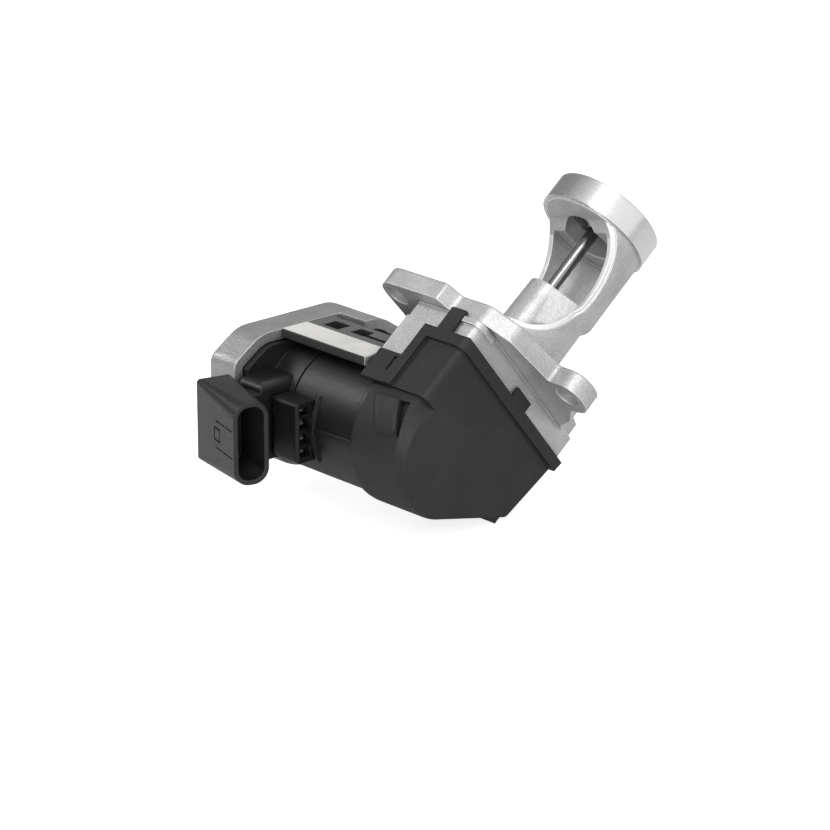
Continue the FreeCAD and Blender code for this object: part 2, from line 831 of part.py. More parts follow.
def cover_section(grow, x, shrink):
    """Closed outline of the cover at x, its drum arc shrunk towards the lowest point."""
    ly, lz = chamber_low_right
    radius = drum_r + grow - shrink
    centre = (motor_axis[0], motor_axis[1] - shrink)
    top_left = (chamber_left - grow, cover_top)
    top_right = (chamber_right + grow, cover_top)
    low_right = (ly + grow, lz - grow * 0.6, 3.0)
    touch = touch_point(low_right, centre, radius, -1)
    ledge = ledge_z - grow
    ledge_end = (centre[0] - math.sqrt(radius ** 2 - (ledge - centre[1]) ** 2), ledge)
    first, middle, last = rounded_corner(top_right, low_right, touch)
    lowest = (centre[0], centre[1] - radius)
    corner = [(p.x, p.y) for p in (first, middle, last)]

    def point(place):
        return Vector(x, place[0], place[1])

    def line(a, b):
        return Part.LineSegment(point(a), point(b)).toShape()

    return Part.Wire([
        line(top_left, top_right), line(top_right, corner[0]),
        Part.Arc(*[point(p) for p in corner]).toShape(), line(corner[2], touch),
        Part.Arc(point(touch), point(lowest), point(ledge_end)).toShape(),
        line(ledge_end, (top_left[0], ledge)), line((top_left[0], ledge), top_left)])


def cover_bar(grow, x0, x1):
    """Cover's section drawn straight along x."""
    return Part.Face(cover_section(grow, x0, 0)).extrude(Vector(x1 - x0, 0, 0))


def cover_form(grow, x0, x1):
    """Cover from x0 to x1, its drum drawn in towards the front face."""
    blend = chamber_front - blend_depth
    shrink = blend_shrink * (x1 - blend) / blend_depth
    body = cover_bar(grow, x0, blend)
    ends = [cover_section(grow, blend, 0), cover_section(grow, x1, shrink)]
    return body.fuse(Part.makeLoft(ends, True, True))


def cover_shell():
    """Outer form of the cover with its rounded crest."""
    body = cover_form(0, cover_edge, chamber_front).removeSplitter()
    crest = edges_where(body, lambda p: abs(p.x - chamber_front) < 1e-3 and abs(p.y - chamber_left) < 1e-3)
    body = body.makeFillet(crest_round, crest)
    skirt = cover_bar(0, cover_seam, cover_edge)
    return body.fuse(skirt.cut(box(cover_seam - 1, cover_edge + 1, -60, 60, ledge_z, 0)))


def cover_rim():
    """Raised band round the cover's open edge."""
    band = slab(chamber_outline(rim_proud, cover_top), cover_edge, chamber_front + rim_proud)
    crest = edges_where(band, lambda p: abs(p.x - chamber_front - rim_proud) < 1e-3
                        and abs(p.y - chamber_left + rim_proud) < 1e-3)
    band = band.makeFillet(crest_round + rim_proud, crest)
    top = band.common(box(-60, 60, -60, 60, cover_top - rim_width, 0))
    back = band.common(box(cover_edge, cover_edge + rim_width - 0.4, -60, 60, ledge_z, 0))
    back = back.cut(rod(drum_r - 1, cover_edge - 1, 0, motor_axis))
    return top.fuse(back)


def cover_tabs():
    """Latch tabs of the cover, flush with its rim and standing off the casting."""
    outer = chamber_left - rim_proud
    inner = chamber_left - tab_gap
    front = chamber_front + tab_gap
    top_tab = box(top_tab_x[0], top_tab_x[1], outer, inner, cover_top - rim_width, -5.6)
    face_tab = box(front, chamber_front + rim_proud, face_tab_y[0], face_tab_y[1], cover_top - 1.0, -11.0)
    long_tab = box(cover_edge - long_tab_back, cover_edge + 1.0, outer, inner, ledge_z - 0.3,
                   ledge_z + long_tab_height)
    slit = box(cover_edge + tab_slit_x[0], cover_edge + tab_slit_x[1], outer - 1, inner + 1,
               ledge_z + tab_slit_heights[0], ledge_z + tab_slit_heights[1])
    long_tab = long_tab.cut(slit)
    foot = box(cover_edge + 1.0, chamber_front - 1.0, 31.0, 35.7, -46.6, -44.0)
    return [top_tab, face_tab, long_tab, foot]


def pad_prism(corners, radius):
    """Slanted four-sided bar through the drum's near side, from (x, z) corners."""
    near = chamber_left - 5.0
    face = outline([(x, z, radius) for x, z in corners], lambda u, v: Vector(u, near, v))
    return face.extrude(Vector(0, -near, 0))


def drum_pad():
    """Raised pad on the drum below the long tab."""
    pad = rod(drum_r + pad_proud, cover_seam, chamber_front, motor_axis)
    pad = pad.cut(rod(drum_r - 1.0, cover_seam - 1, chamber_front + 1, motor_axis))
    pad = pad.common(pad_prism(pad_corners, pad_round))
    face = edges_where(pad, lambda p: abs(math.hypot(p.y, p.z - motor_axis[1]) - drum_r - pad_proud) < 0.01)
    return pad.makeFillet(pad_proud / 2, face)


def drum_pad_gap():
    """Deep narrow gap along the pad's front edge."""
    ring = rod(drum_r + 1, cover_seam, chamber_front, motor_axis)
    ring = ring.cut(rod(drum_r - cover_wall + pad_wall, cover_seam - 1, chamber_front + 1, motor_axis))
    return ring.common(pad_prism(pad_gap_corners, 0.2))


def gear_cover():
    """Moulded cover over the gears."""
    body = cover_shell().fuse(cover_rim())
    hollow = cover_form(-cover_wall, cover_edge, chamber_front - cover_wall)
    open_back = cover_bar(-cover_wall, cover_seam - 1, cover_edge + 1)
    open_top = chamber_solid(-cover_wall, cover_edge, chamber_front - cover_wall, cover_top + 6)
    open_top = open_top.common(box(cover_edge, chamber_front, -60, 60, cover_top - 1, 0))
    body = body.cut(hollow).cut(open_back).cut(open_top).cut(drum_pad_gap())
    body = body.fuse(cover_tabs() + [drum_pad()])
    boss = rod(gear_pin_r + 1.6, chamber_front - cover_wall - 0.2, chamber_front - 0.6, middle_axis)
    body = body.fuse(boss)
    return body.cut(rod(gear_pin_r, 0, chamber_front - cover_wall + 0.7, middle_axis)).removeSplitter()


def cover_seal():
    """Gasket between the cover's edge and the casting."""
    outer = chamber_solid(0, cover_edge - seal_thickness, chamber_front, chamber_top)
    inner = chamber_solid(-cover_wall + 0.2, cover_edge - seal_thickness - 1, chamber_front - cover_wall,
                          chamber_top + 6)
    ring = outer.cut(inner)
    top = ring.common(box(-60, 60, -60, 60, cover_top, 0))
    back = ring.common(box(cover_edge - seal_thickness, cover_edge, -60, 60, ledge_z + fit_gap, cover_top))
    back = back.cut(rod(drum_r - cover_wall, cover_edge - 2, 0, motor_axis))
    return top.fuse(back).removeSplitter()


# Motor

def saddle_band():
    """Band beside the terminal block and the rail that runs from it to the drum."""
    start, end = saddle_turn
    band = rod(motor_r + saddle_proud, saddle_x[0], saddle_x[1], motor_axis)
    band = band.common(wedge(motor_axis, start, end, saddle_x[0], saddle_x[1], 2 * motor_r))
    wide, high = rail_size
    rail = box(saddle_x[0], motor_front, motor_r - 1, motor_r + high, -wide / 2, wide / 2)
    rail.rotate(ORIGIN, X, rail_turn)
    rail.translate(Vector(0, motor_axis[0], motor_axis[1]))
    return [band, rail]


def motor_housing():
    """Barrel of the motor with its front flange and nose."""
    body = rod(motor_r, motor_seam, motor_front, motor_axis)
    body = body.fuse(rod(drum_r - 0.2, motor_front, cover_seam, motor_axis))
    body = body.fuse(rod(motor_bearing_r + 2.6, cover_seam, cover_seam + 2.6, motor_axis))
    body = body.fuse(saddle_band())
    deep, wide = seam_groove[1], seam_groove[0]
    groove = rod(motor_r + 1, motor_seam - 1, motor_seam + wide, motor_axis)
    body = body.cut(groove.cut(rod(motor_r - deep, motor_seam - 2, motor_seam + wide + 1, motor_axis)))
    body = body.cut(rod(motor_r - housing_wall, motor_seam - 1, motor_front - 1.0, motor_axis))
    body = body.cut(rod(motor_bearing_r, motor_front - 2, cover_seam + 1.4, motor_axis))
    for spot in motor_screw_spots:
        body = body.cut(rod(screw_r, motor_front - 2, cover_seam + 1, spot))
    return body.cut(rod(motor_axle_r + 1.2, motor_front - 2, 0, motor_axis))


def motor_can():
    """Steel flux ring inside the housing."""
    radius = motor_r - housing_wall
    body = rod(radius, motor_seam + can_ends[0], motor_front - can_ends[1], motor_axis)
    return body.cut(rod(radius - can_wall, motor_seam, motor_front, motor_axis))


def motor_magnets():
    """Two magnet arcs in the can."""
    radius = motor_r - housing_wall - can_wall
    body = rod(radius, motor_seam + magnet_ends[0], motor_front - magnet_ends[1], motor_axis)
    body = body.cut(rod(radius - magnet_wall, motor_seam, motor_front, motor_axis))
    gap = box(motor_seam, motor_front, -4.0, 4.0, -motor_drop - motor_r, -motor_drop + motor_r)
    return body.cut(gap)


def rotor_shaft():
    """Motor shaft from the rear bearing to the pinion."""
    return rod(motor_axle_r, shaft_back, pinion_x[1], motor_axis)


def rotor_core():
    """Slotted armature."""
    radius = motor_r - housing_wall - core_gap
    x0 = motor_seam + core_ends[0]
    x1 = motor_front - core_ends[1]
    wide, deep = core_slot
    body = rod(radius, x0, x1, motor_axis)
    for k in range(core_slots):
        slot = box(x0 - 1, x1 + 1, -wide / 2, wide / 2, radius - deep, radius + 1)
        slot.translate(Vector(0, motor_axis[0], motor_axis[1]))
        slot.rotate(Vector(0, motor_axis[0], motor_axis[1]), X, 360.0 * k / core_slots)
        body = body.cut(slot)
    return body.cut(rod(motor_axle_r, x0 - 1, x1 + 1, motor_axis))


def commutator():
    """Commutator drum behind the armature."""
    low = motor_seam - commutator_ends[0]
    high = motor_seam + commutator_ends[1]
    body = rod(commutator_r, low, high, motor_axis)
    return body.cut(rod(motor_axle_r, low - 1, high + 1, motor_axis))


def brush_box(side, ends, x0, x1, half):
    """Block beside the shaft, from one distance to another on the given side."""
    low, high = sorted((side * ends[0], side * ends[1]))
    return box(motor_seam + x0, motor_seam + x1, low, high, -motor_drop - half, -motor_drop + half)


def brush_holder():
    """Plate in the end bell that carries the brushes."""
    back, front = brush_plate_x
    near, far, wall = brush_sleeve
    body = rod(motor_r - housing_wall - 0.4, motor_seam + back, motor_seam + front, motor_axis)
    body = body.cut(rod(brush_plate_bore, motor_seam + back - 1, motor_seam, motor_axis))
    for side in (-1, 1):
        sleeve = brush_box(side, (near, far), front, brush_x[1] + 0.6, brush_half + wall)
        hole = brush_box(side, (near - 1, far + 1), brush_x[0], brush_x[1], brush_half)
        body = body.fuse(sleeve.cut(hole))
    return body


def brushes():
    """Two carbon brushes beside the commutator."""
    return Part.makeCompound([brush_box(side, brush_ends, brush_x[0], brush_x[1], brush_half)
                              for side in (-1, 1)])


def motor_bearings():
    """Front and rear bearings of the motor's shaft."""
    front = ball_bearing(motor_bearing_r, motor_axle_r, motor_front - 2.1, motor_axis)
    rear = ball_bearing(motor_bearing_r, motor_axle_r, rear_bearing_x, motor_axis)
    return Part.makeCompound([front, rear])


# End cap, end bell and plug socket, in the level frame

def cap_solid(inset, x0, x1):
    """The end cap's form drawn along x, with its walls moved in."""
    width = cap_half_width - inset
    top = bridge_level - inset
    low = motor_z - cap_side_drop
    centre = (motor_y, motor_z)
    round_bottom = cap_bottom_r - inset
    right = (motor_y + width, low, cap_low_round)
    left = (motor_y - width, low, cap_low_round)
    along, down = cap_corner
    rise = down / along
    slant = math.hypot(1, rise)
    side_end = bridge_level - down - inset * (slant - rise)
    flat_half = cap_half_width - along - inset * (slant - 1) / rise
    side_round, top_round = [r - inset for r in cap_corner_rounds]
    corners = [(motor_y - width, side_end, side_round), (motor_y - flat_half, top, top_round),
               (motor_y + flat_half, top, top_round), (motor_y + width, side_end, side_round), right,
               touch_point(right, centre, round_bottom, -1), touch_point(left, centre, round_bottom, 1), left]
    return slab(corners, x0, x1).fuse(rod(round_bottom, x0, x1, centre)).removeSplitter()


def motor_end_cap():
    """Cast cap round the rear of the motor, with a long arm on its far side."""
    body = cap_solid(0, cap_left, cap_right)
    arm = cap_solid(0, cap_right, cap_arm_end)
    arm = arm.common(box(cap_right, cap_arm_end, cap_arm_side, 20, motor_z + 4, bridge_level))
    body = body.fuse(arm).removeSplitter()
    body = body.cut(cap_solid(cap_wall, cap_left + cap_end_wall, cap_arm_end + 1))
    edge = edges_where(body, lambda p: abs(p.x - cap_left) < 1e-3)
    return level(body.makeFillet(1.0, edge))


def socket_arm():
    """Block that reaches from the end bell towards the socket, its front edge rounded."""
    low, high = arm_ends
    arm = box(low, high, arm_front, motor_y - 8.0, arm_top - arm_thickness, arm_top)
    edge = edges_where(arm, lambda p: abs(p.z - arm_top) < 1e-3
                       and (abs(p.y - arm_front) < 1e-3 or abs(p.x - high) < 1e-3))
    return arm.makeFillet(arm_round, edge)


def socket_neck():
    """Web under the arm, behind the socket."""
    low, high = arm_ends
    return box(low, high, arm_front + 3.0, motor_y - 16.0, neck_low, arm_top - arm_thickness + 1)


def socket_foot():
    """Wedge between the arm's front and the socket's slanted side."""
    low, high = arm_ends
    slope = math.tan(math.radians(socket_turn))
    back_x = socket_corner[0] + socket_width * math.sin(math.radians(socket_turn))
    back_y = socket_corner[1] + socket_width * math.cos(math.radians(socket_turn))
    corners = [(low, arm_front + 1, 0), (low, back_y - (low - back_x) * slope, 0),
               (high, back_y - (high - back_x) * slope, 0), (high, arm_front + 1, 0)]
    return plate(corners, arm_top - arm_thickness, arm_top - arm_round)


def end_bell():
    """Black rear part of the motor, nested in the cap, with the socket's arm."""
    centre = (motor_y, motor_z)
    nested = cap_solid(cap_wall + fit_gap, cap_left + cap_end_wall + fit_gap, cap_right + 2.5)
    body = nested.fuse(rod(motor_r, cap_right + 2.0, motor_seam, centre))
    body = body.fuse([socket_arm(), socket_foot(), socket_neck()])
    body = body.cut(rod(motor_r - housing_wall, motor_seam - 13.0, motor_seam + 1, centre))
    body = body.cut(rod(motor_bearing_r, rear_bearing_x, motor_seam, centre))
    body = body.cut(rod(motor_axle_r + 0.8, shaft_back - 1.0, motor_seam, centre))
    return level(body.removeSplitter())


def socket_place(shape):
    """Socket frame (x along the plug's way, y through the socket) to the level frame."""
    moved = shape.copy()
    moved.rotate(ORIGIN, Z, -socket_turn)
    moved.translate(Vector(socket_corner[0], socket_corner[1], 0))
    return moved


def socket_outline(inset, radius):
    """Corners of the socket's section."""
    low = socket_top - socket_height + inset
    high = socket_top - inset
    return [(inset, low, radius), (socket_width - inset, low, radius),
            (socket_width - inset, high, radius), (inset, high, radius)]


def latch_marks():
    """Cuts of the latch window in the socket's open side."""
    middle = socket_top - socket_height / 2
    start, end = latch_ends
    wide, deep = latch_line
    cuts = []
    for side in (-1, 1):
        level_z = middle + side * latch_half
        cuts.append(box(start, end, -1, deep, level_z - wide / 2, level_z + wide / 2))
        low, high = sorted((level_z, level_z - side * 1.4))
        cuts.append(box(start, start + wide, -1, deep, low, high))
    pocket = box(catch_ends[0], catch_ends[1], -1, 0.7, middle - catch_half, middle + catch_half)
    catch = box(catch_ends[0] + 0.8, catch_ends[1] - 0.5, -2, 1.0, middle - catch_half + 0.6,
                middle + catch_half - 0.6)
    return cuts + [pocket.cut(catch)]


def connector_shell():
    """Upright plug socket."""
    ends = []
    for x, radius in ((0, socket_back_round), (socket_length, socket_round)):
        ends.append(outline(socket_outline(0, radius), lambda u, v: Vector(x, u, v)).OuterWire)
    body = Part.makeLoft(ends, True, True)
    inner = socket_outline(socket_wall, socket_round - socket_wall)
    body = body.cut(slab(inner, socket_length - socket_depth, socket_length + 1))
    for cut in pin_spots() + latch_marks():
        body = body.cut(cut)
    return level(socket_place(body))


def pin_spots():
    """Blade terminals in one row up the socket."""
    wide, tall = pin_blade
    mid_y = socket_width / 2
    mid_z = socket_top - socket_height / 2
    floor = socket_length - socket_depth
    blades = []
    for k in range(pin_count):
        z = mid_z + (k - (pin_count - 1) / 2) * pin_pitch
        blades.append(box(floor - 4.0, floor + pin_reach, mid_y - wide / 2, mid_y + wide / 2,
                          z - tall / 2, z + tall / 2))
    return blades


def connector_pins():
    """The blades as one group."""
    return level(socket_place(Part.makeCompound(pin_spots())))


def terminal_block():
    """Block between the socket and the motor, with a ribbed recess in its open side."""
    low, high = block_ends
    bottom, top = block_levels
    body = box(low, high, block_front, motor_y - motor_r + 9.0, bottom, top)
    front = edges_where(body, lambda p: abs(p.y - block_front) < 1e-3)
    body = body.makeFillet(block_round, front)
    near, far = recess_y
    recess = box(high - recess_depth, high + 1, block_front + near, block_front + far, bottom + recess_rim,
                 top - recess_rim)
    body = body.cut(recess)
    for k in range(3):
        z = bottom + (k + 1) * (top - bottom) / 4
        body = body.fuse(box(high - recess_depth - 0.5, high - 1.0, block_front + near - 0.4,
                             block_front + far + 0.2, z - contact_half, z + contact_half))
    return level(body.cut(rod(motor_r + 0.05, -80, 10, (motor_y, motor_z))))


def id_label():
    """Blank strip on the bridge plate."""
    front = bridge_front + label_margin
    return level(box(cap_right + cap_joint + label_margin, casting_back - fit_gap, front, front + label_width,
                     bridge_level, bridge_level + label_thickness))


def write(name, shape):
    """One STEP file for a node."""
    shape.exportStep("parts/" + name + ".step")


VALVE_FRAME = {
    "seat_ring": seat_ring, "valve_seat": valve_seat, "poppet_valve": poppet_valve, "stem_yoke": stem_yoke,
    "stem_guide": stem_guide, "stem_seal": stem_seal, "spring_retainer": spring_retainer,
    "return_spring": return_spring, "output_gear": output_gear, "output_shaft": output_shaft,
    "crank_pin": crank_pin, "crank_roller": crank_roller, "output_bearing": output_bearing,
    "intermediate_gear": intermediate_gear, "intermediate_pin": intermediate_pin,
    "motor_pinion": motor_pinion, "gear_cover": gear_cover, "cover_seal": cover_seal,
    "motor_housing": motor_housing, "motor_can": motor_can, "motor_magnets": motor_magnets,
    "rotor_shaft": rotor_shaft, "rotor_core": rotor_core, "commutator": commutator,
    "brush_holder": brush_holder, "brushes": brushes,
    "motor_bearings": motor_bearings, "position_magnet": position_magnet, "sensor_board": sensor_board,
    "motor_screws": motor_screws}

LEVEL_FRAME = {
    "valve_body": valve_body, "motor_end_cap": motor_end_cap, "end_bell": end_bell,
    "connector_shell": connector_shell, "connector_pins": connector_pins, "terminal_block": terminal_block,
    "id_label": id_label}

for node, build in VALVE_FRAME.items():
    write(node, tilted(build()))
for node, build in LEVEL_FRAME.items():
    write(node, build())
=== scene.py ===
import math

import bpy
from bpy.props import FloatProperty, FloatVectorProperty, PointerProperty
from mathutils import Matrix, Vector


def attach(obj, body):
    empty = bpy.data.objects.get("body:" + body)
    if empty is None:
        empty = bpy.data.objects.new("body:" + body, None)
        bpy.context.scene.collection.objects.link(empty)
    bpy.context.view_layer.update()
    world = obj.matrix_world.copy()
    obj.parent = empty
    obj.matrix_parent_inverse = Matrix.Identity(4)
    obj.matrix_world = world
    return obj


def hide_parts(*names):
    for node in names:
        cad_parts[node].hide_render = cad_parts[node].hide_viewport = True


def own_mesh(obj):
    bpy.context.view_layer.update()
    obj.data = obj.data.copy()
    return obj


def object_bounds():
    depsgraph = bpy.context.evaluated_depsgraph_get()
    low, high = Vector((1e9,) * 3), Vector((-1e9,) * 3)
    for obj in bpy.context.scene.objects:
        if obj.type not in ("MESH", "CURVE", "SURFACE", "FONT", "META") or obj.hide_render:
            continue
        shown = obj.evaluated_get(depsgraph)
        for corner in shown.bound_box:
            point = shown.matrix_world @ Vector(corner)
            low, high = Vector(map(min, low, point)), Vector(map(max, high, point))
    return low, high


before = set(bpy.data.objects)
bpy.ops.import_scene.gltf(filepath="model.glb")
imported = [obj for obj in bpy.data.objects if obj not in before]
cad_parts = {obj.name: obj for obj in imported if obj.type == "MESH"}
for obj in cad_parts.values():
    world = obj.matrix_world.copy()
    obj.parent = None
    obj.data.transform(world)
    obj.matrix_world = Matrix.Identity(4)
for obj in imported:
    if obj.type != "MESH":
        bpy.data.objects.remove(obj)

bl_info = {
    "name": "Exhaust gas recirculation valve",
    "version": (1, 0, 0),
    "blender": (4, 5, 0),
    "location": "3D View > Sidebar > Valve",
    "description": "Gives the valve its finishes, its small parts and its studio",
    "category": "Object",
}

cad_box = [list(corner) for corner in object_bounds()]

# The valve axis rises towards the back by its tilt. It runs from the centre of the flange's face to the
# snout's shoulder, which is the origin.
valve_tilt = math.radians(38.5)
shoulder = 0.050
valve_axis = Vector((0.0, math.cos(valve_tilt), math.sin(valve_tilt)))
flange_centre = valve_axis * -shoulder

# Snout: its two radii, the heights between which it swells, and its wall
snout_radii = (0.0174, 0.0192)
snout_step = (0.018, 0.0225)
snout_wall = 0.003

# Window in the snout: its heights, how deep the lip round it is cut, the height at which the lip's mask
# begins, how near it keeps to the lip, and how far the other mask stays inside the wall's faces
window_heights = (0.004, 0.046)
lip_depth = 0.0008
lip_foot = 0.0005
lip_reach = 0.00018
wall_margin = 0.00015

# Bridge plate over the motor: its end at the casting, its front, its top, and how far back its dark top
# goes, then how far its masks reach past its front, stay below its top and rise above it
bridge_end = -0.0213
bridge_front = flange_centre.y - 0.045
bridge_top = flange_centre.z + 0.001
bridge_back = flange_centre.y - 0.006
front_reach = 0.0001
side_margin = 0.0003
top_reach = 0.0002

# Return spring: radius of its wire and of its coil, the heights of its first and last turn, and its turns
spring_wire = 0.0006
spring_coil = 0.0061
spring_heights = (-0.0146, -0.0016)
spring_turns = 4.5

# Contacts in the terminal block: where they stand, and each one's level from the flange's centre
contact_left = -0.0400
contact_front = flange_centre.y - 0.0582
contact_levels = (-0.0189, -0.0235, -0.0287, -0.0333)

# One contact: size of its foot, the frame left round its tongue, how far the tongue stands out, how far
# its end goes on, how far that folds over, and the rounding of its edges
foot_size = Vector((0.0006, 0.0032, 0.0018))
tongue_frame = 0.0004
tongue_reach = 0.0009
tongue_end = 0.0003
tongue_fold = 0.0008
edge_rounding = 0.0001

# Colours of the small parts and of what sits inside
bronze = (0.62, 0.45, 0.22)
spring_steel = (0.42, 0.42, 0.43)
seal_rubber = (0.03, 0.03, 0.03)
sintered_steel = (0.36, 0.35, 0.34)
ground_steel = (0.62, 0.62, 0.61)
gear_brass = (0.72, 0.55, 0.28)
gear_nylon = (0.70, 0.66, 0.55)
plated_steel = (0.5, 0.5, 0.48)
ferrite_grey = (0.06, 0.06, 0.065)
lamination_grey = (0.22, 0.22, 0.23)
commutator_copper = (0.70, 0.38, 0.22)
carbon_black = (0.03, 0.03, 0.03)
board_green = (0.02, 0.12, 0.05)
tin_plate = (0.86, 0.85, 0.82)

# Floor: its side, its gap below the valve, and its own glow to the camera, which makes it white there
# and leaves the shadow, and to mirrored rays
floor_side = 8.0
floor_gap = 0.0006
floor_glow = 0.78
floor_mirrored = 0.078

# World: the way its brighter side faces, then for matt and for mirrored light the range of the cosine to
# that way and the strengths that it is spread over
bright_side = Vector((0.96, 0.0, 0.28)).normalized()
matt_light = ((-0.9, 0.7), (0.24, 0.46))
mirrored_light = ((-0.5, 0.5), (0.26, 1.0))

# Lamps: place, side, the setting that each takes its power from, and its share of it
lamps = {
    "KeyLamp": ((0.40, -0.36, 0.85), 0.34, "key_power", 1.0),
    "SideLamp": ((-0.72, -0.50, 0.56), 0.3, "fill_power", 0.8),
    "FrontLamp": ((0.74, -0.88, 0.36), 0.7, "fill_power", 2.2),
    "BackLamp": ((-0.45, 0.75, 0.75), 0.8, "fill_power", 0.5),
}
lamp_target = Vector((-0.015, -0.045, -0.035))

# Camera: its place from the flange's centre, and the photograph's own right and backward directions
camera_place = Vector((0.86696, -0.8354, 0.3955))
camera_right = Vector((0.6752, 0.7376, 0.0)).normalized()
camera_back = Vector((0.6965, -0.6375, 0.3293)).normalized()


# Properties

class CastingFinish(bpy.types.PropertyGroup):
    """Sand-cast aluminium of the body and the end cap."""
    body_colour: FloatVectorProperty(name="Body", description="Colour of the cast body", subtype="COLOR",
                                     min=0, max=1, default=(0.55, 0.55, 0.545))
    cap_colour: FloatVectorProperty(name="End cap", description="Colour of the cast end cap", subtype="COLOR",
                                    min=0, max=1, default=(0.42, 0.42, 0.415))
    grain: FloatProperty(name="Grain", description="Size of the sand grain", unit="LENGTH", default=0.00045)
    depth: FloatProperty(name="Depth", description="Depth of the sand grain", unit="LENGTH", default=0.00006)


class MetalFinish(bpy.types.PropertyGroup):
    """Turned and polished steel."""
    ring_colour: FloatVectorProperty(name="Ring", description="Colour of the turned ring", subtype="COLOR",
                                     min=0, max=1, default=(0.78, 0.78, 0.775))
    stem_colour: FloatVectorProperty(name="Stem", description="Colour of the polished stem", subtype="COLOR",
                                     min=0, max=1, default=(0.34, 0.34, 0.335))
    groove: FloatProperty(name="Groove", description="Pitch of the turning marks", unit="LENGTH",
                          default=0.0002)


class PlasticFinish(bpy.types.PropertyGroup):
    """Moulded plastics and the label."""
    cover_colour: FloatVectorProperty(name="Cover", description="Colour of the gear cover", subtype="COLOR",
                                      min=0, max=1, default=(0.020, 0.020, 0.0206))
    motor_colour: FloatVectorProperty(name="Motor", description="Colour of the motor's plastic",
                                      subtype="COLOR", min=0, max=1, default=(0.007, 0.007, 0.0072))
    socket_colour: FloatVectorProperty(name="Socket", description="Colour of the plug socket",
                                       subtype="COLOR", min=0, max=1, default=(0.014, 0.014, 0.0144))
    grain: FloatProperty(name="Grain", description="Size of the moulded grain", unit="LENGTH",
                         default=0.0009)
    label_colour: FloatVectorProperty(name="Label", description="Colour of the blank label", subtype="COLOR",
                                      min=0, max=1, default=(0.78, 0.77, 0.74))


class StageSettings(bpy.types.PropertyGroup):
    """Floor, lamps and camera."""
    floor_colour: FloatVectorProperty(name="Floor", description="Colour of the floor", subtype="COLOR",
                                      min=0, max=1, default=(0.86, 0.86, 0.86))
    key_power: FloatProperty(name="Key", description="Power of the key lamp", unit="POWER", default=3.0)
    fill_power: FloatProperty(name="Fill", description="Power that the other lamps take their share of",
                              unit="POWER", default=2.4)
    lens: FloatProperty(name="Lens", description="Focal length", unit="CAMERA", default=164.8)


# Nodes

def feed(tree, node, inputs):
    """Gives a node's inputs their values, or links them to the sockets given."""
    for key, value in inputs.items():
        if isinstance(value, bpy.types.NodeSocket):
            tree.links.new(value, node.inputs[key])
        else:
            node.inputs[key].default_value = value


def add_node(tree, kind, inputs, **settings):
    """Adds a node with its settings and its inputs, and gives back its outputs."""
    node = tree.nodes.new(kind)
    for key, value in settings.items():
        setattr(node, key, value)
    feed(tree, node, inputs)
    return node.outputs


def arithmetic(tree, operation, first, second=0.0):
    """One sum on two values."""
    return add_node(tree, "ShaderNodeMath", {0: first, 1: second}, operation=operation)[0]


def near(tree, value, middle, reach):
    """Mask that is 1 where a value is within a reach of a middle."""
    off = arithmetic(tree, "ABSOLUTE", arithmetic(tree, "SUBTRACT", value, middle))
    return arithmetic(tree, "LESS_THAN", off, reach)


def stretch(tree, value, span, to=(0.0, 1.0), kind="LINEAR"):
    """Maps a value from one range to another, and keeps it inside."""
    inputs = {"Value": value, "From Min": span[0], "From Max": span[1], "To Min": to[0], "To Max": to[1]}
    return add_node(tree, "ShaderNodeMapRange", inputs, interpolation_type=kind)["Result"]


def noise(tree, place, scale, detail, roughness=0.5):
    """Cloudy pattern between 0 and 1."""
    inputs = {"Vector": place, "Scale": scale, "Detail": detail, "Roughness": roughness}
    return add_node(tree, "ShaderNodeTexNoise", inputs)["Fac"]


def mix_colour(tree, factor, below, above):
    """A colour between two by a factor, or one laid over another through a mask."""
    inputs = {"Factor": factor, "A": below, "B": above}
    return add_node(tree, "ShaderNodeMix", inputs, data_type="RGBA")["Result"]


def shade(colour, factor):
    """A colour made lighter or darker, with full alpha."""
    return (*(min(1.0, c * factor) for c in colour[:3]), 1.0)


# Shared node groups

def add_socket(group, name, kind, way, value=None):
    """Adds a socket to a node group."""
    socket = group.interface.new_socket(name=name, in_out=way, socket_type=kind)
    if value is not None:
        socket.default_value = value


def shared_group(tree, name, build, **values):
    """Places a node group with its own values, and builds it the first time."""
    group = bpy.data.node_groups.get(name) or build(name)
    return add_node(tree, "ShaderNodeGroup", values, node_tree=group)


def sand_group(name):
    """Height and tone of a sand-cast surface."""
    group = bpy.data.node_groups.new(name, "ShaderNodeTree")
    add_socket(group, "Vector", "NodeSocketVector", "INPUT")
    add_socket(group, "Grain", "NodeSocketFloat", "INPUT", 0.0007)
    add_socket(group, "Height", "NodeSocketFloat", "OUTPUT")
    add_socket(group, "Tone", "NodeSocketFloat", "OUTPUT")
    given = add_node(group, "NodeGroupInput", {})
    rate = arithmetic(group, "DIVIDE", 1.0, given["Grain"])
    fine = noise(group, given["Vector"], rate, 3.0, 0.62)
    broad = noise(group, given["Vector"], 95.0, 4.0)
    pits = add_node(group, "ShaderNodeTexVoronoi",
                    {"Vector": given["Vector"], "Scale": arithmetic(group, "MULTIPLY", rate, 0.6)},
                    feature="SMOOTH_F1")["Distance"]
    height = arithmetic(group, "ADD", fine, pits)
    tone = arithmetic(group, "ADD", arithmetic(group, "MULTIPLY", broad, 0.30),
                      arithmetic(group, "MULTIPLY", fine, 0.70))
    add_node(group, "NodeGroupOutput", {"Height": height, "Tone": tone})
    return group


